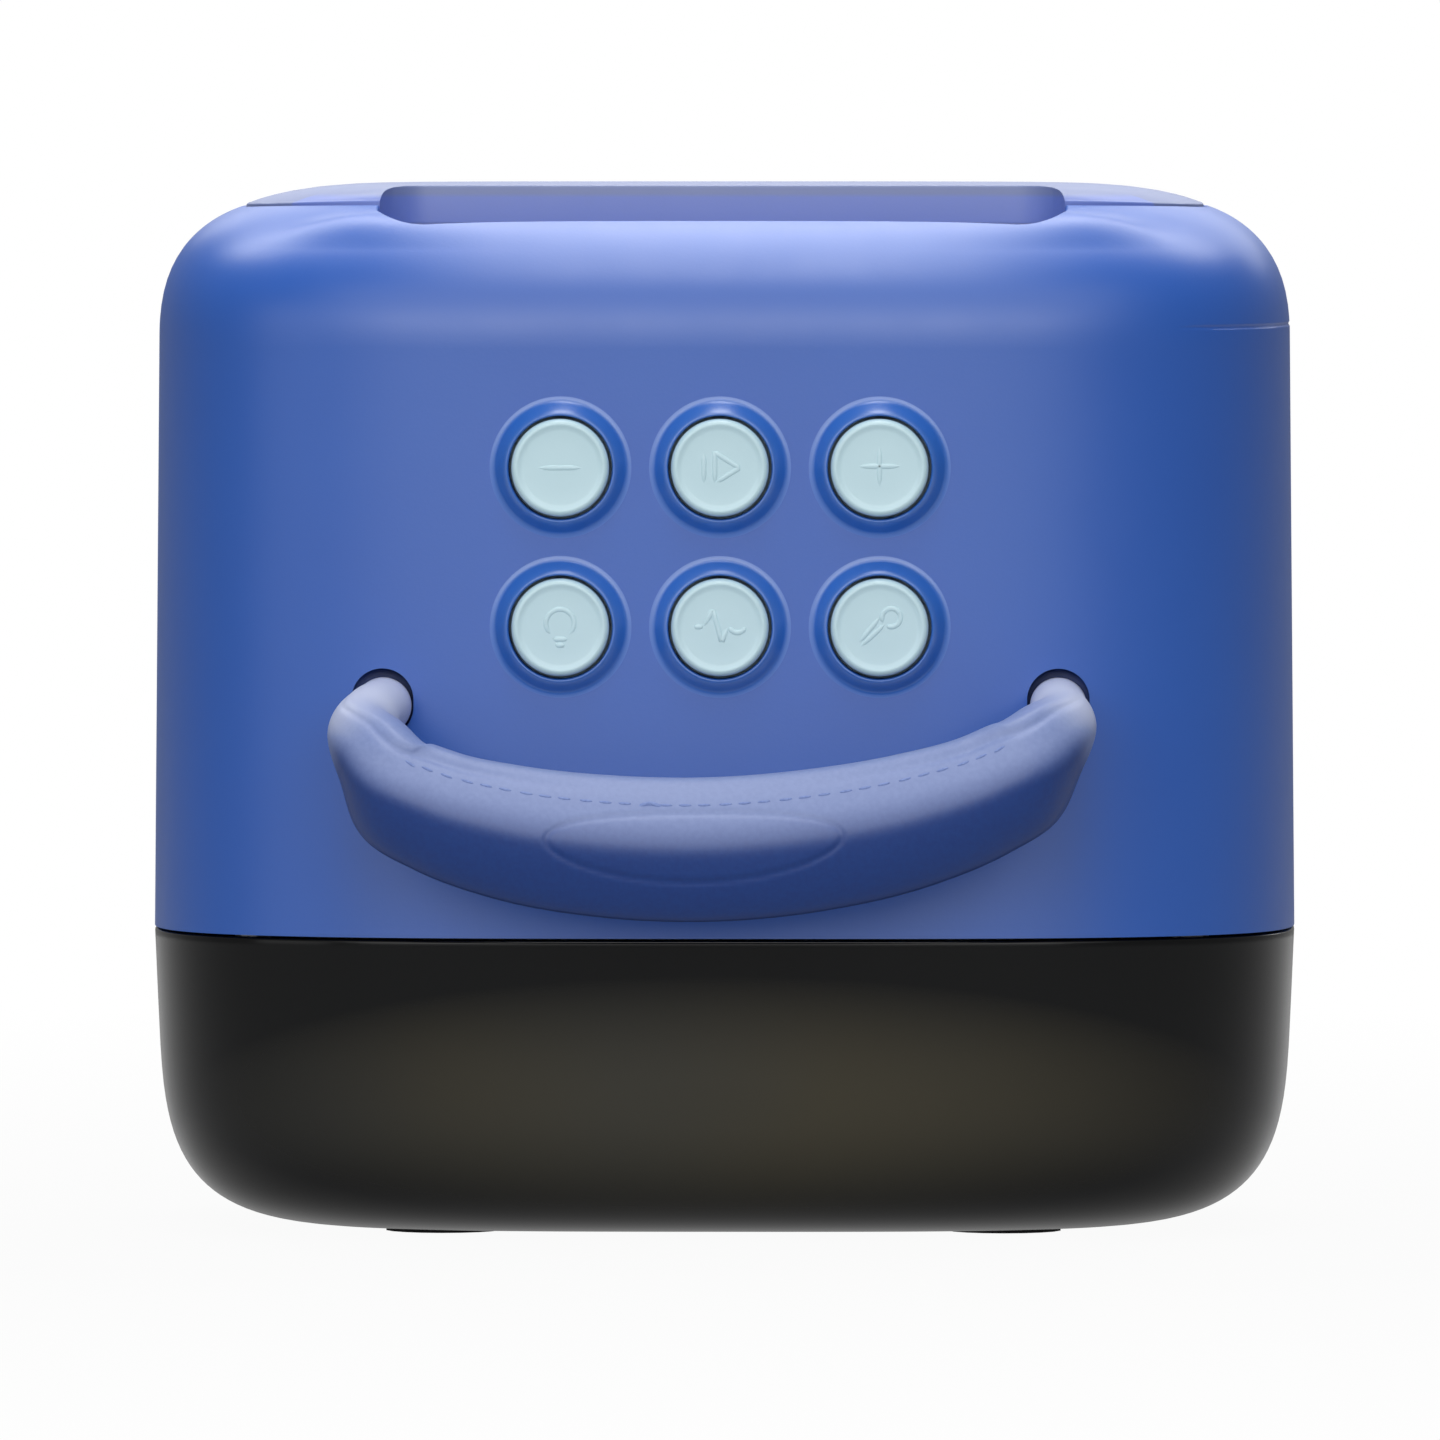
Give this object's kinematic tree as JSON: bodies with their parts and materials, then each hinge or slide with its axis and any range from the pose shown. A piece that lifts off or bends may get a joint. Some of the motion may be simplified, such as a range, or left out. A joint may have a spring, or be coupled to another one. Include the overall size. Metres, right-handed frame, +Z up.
{
  "type": "karaoke machine",
  "caption": "Rounded box karaoke speaker with round front buttons, a swinging carry handle, a phone slot across the top and a smoked light bowl as its base.",
  "frame": {"origin": "on the table, under the middle of the whole outline, handle included", "axes": "+X to the object's right as seen from the front, +Y to its rear, +Z up; buttons and handle face -Y"},
  "size_m": [0.1388, 0.122, 0.1268],
  "materials": {
    "shell": "satin moulded plastic",
    "deck": "satin moulded plastic, a little greyer than the shell",
    "caps": "pale blue-grey satin caps",
    "grip": "soft moulded strap with a stitched edge",
    "smoked": "smoked polycarbonate, polished",
    "milky": "milky light diffuser",
    "inner_black": "black glass-filled plastic",
    "soft_black": "soft black rubber",
    "screws": "zinc-plated steel",
    "boards": "green circuit board",
    "cell": "shrink-wrapped cell",
    "cone": "black paper cone"
  },
  "bodies": {
    "machine": {"body_shell": "shell", "top_deck": "deck", "phone_tray": "deck", "rear_panel": "shell", "keypad_mat": "soft_black", "key_board": "boards", "key_board_screw_1": "screws", "key_board_screw_2": "screws", "handle_bracket_left": "shell", "handle_bracket_right": "shell", "handle_pin_left": "screws", "handle_pin_right": "screws", "bracket_screw_left_lower": "screws", "bracket_screw_left_upper": "screws", "bracket_screw_right_lower": "screws", "bracket_screw_right_upper": "screws", "driver_frame": "inner_black", "driver_magnet": "screws", "driver_cone": "cone", "driver_surround": "soft_black", "driver_dust_cap": "cone", "driver_screw_1": "screws", "driver_screw_2": "screws", "rear_screw_1": "screws", "rear_screw_2": "screws", "rear_screw_3": "screws", "rear_screw_4": "screws", "light_bowl": "smoked", "light_diffuser": "milky", "led_board": "milky", "chassis_plate": "inner_black", "foot_1": "soft_black", "foot_2": "soft_black", "foot_3": "soft_black", "foot_4": "soft_black", "bowl_screw_1": "screws", "bowl_screw_2": "screws", "bowl_screw_3": "screws", "bowl_screw_4": "screws", "chassis_screw_1": "screws", "chassis_screw_2": "screws", "chassis_screw_3": "screws", "chassis_screw_4": "screws", "main_board": "boards", "board_screw_1": "screws", "board_screw_2": "screws", "usb_socket": "screws", "card_socket": "screws", "aux_socket": "inner_black", "battery_cell": "cell", "battery_cradle": "inner_black"},
    "handle": {"handle_grip": "grip", "handle_core": "inner_black"},
    "volume_down": {"button_volume_down": "caps"},
    "play_pause": {"button_play_pause": "caps"},
    "volume_up": {"button_volume_up": "caps"},
    "light": {"button_light": "caps"},
    "voice_effect": {"button_voice_effect": "caps"},
    "microphone": {"button_microphone": "caps"},
    "power": {"power_slider": "caps"}
  },
  "joints": [
    {"name": "handle_hinge", "type": "hinge", "parent": "machine", "child": "handle", "pos_m": [0, -0.02906, 0.06455], "axis": [-1, 0, 0], "range_deg": [0, 6]},
    {"name": "volume_down_press", "type": "slide", "parent": "machine", "child": "volume_down", "axis": [0, 1, 0], "range_m": [0, 0.0008], "stiffness_N_per_m": 1500},
    {"name": "play_pause_press", "type": "slide", "parent": "machine", "child": "play_pause", "axis": [0, 1, 0], "range_m": [0, 0.0008], "stiffness_N_per_m": 1500},
    {"name": "volume_up_press", "type": "slide", "parent": "machine", "child": "volume_up", "axis": [0, 1, 0], "range_m": [0, 0.0008], "stiffness_N_per_m": 1500},
    {"name": "light_press", "type": "slide", "parent": "machine", "child": "light", "axis": [0, 1, 0], "range_m": [0, 0.0008], "stiffness_N_per_m": 1500},
    {"name": "voice_effect_press", "type": "slide", "parent": "machine", "child": "voice_effect", "axis": [0, 1, 0], "range_m": [0, 0.0008], "stiffness_N_per_m": 1500},
    {"name": "microphone_press", "type": "slide", "parent": "machine", "child": "microphone", "axis": [0, 1, 0], "range_m": [0, 0.0008], "stiffness_N_per_m": 1500},
    {"name": "power_slide", "type": "slide", "parent": "machine", "child": "power", "axis": [1, 0, 0], "range_m": [0, 0.004]}
  ]
}
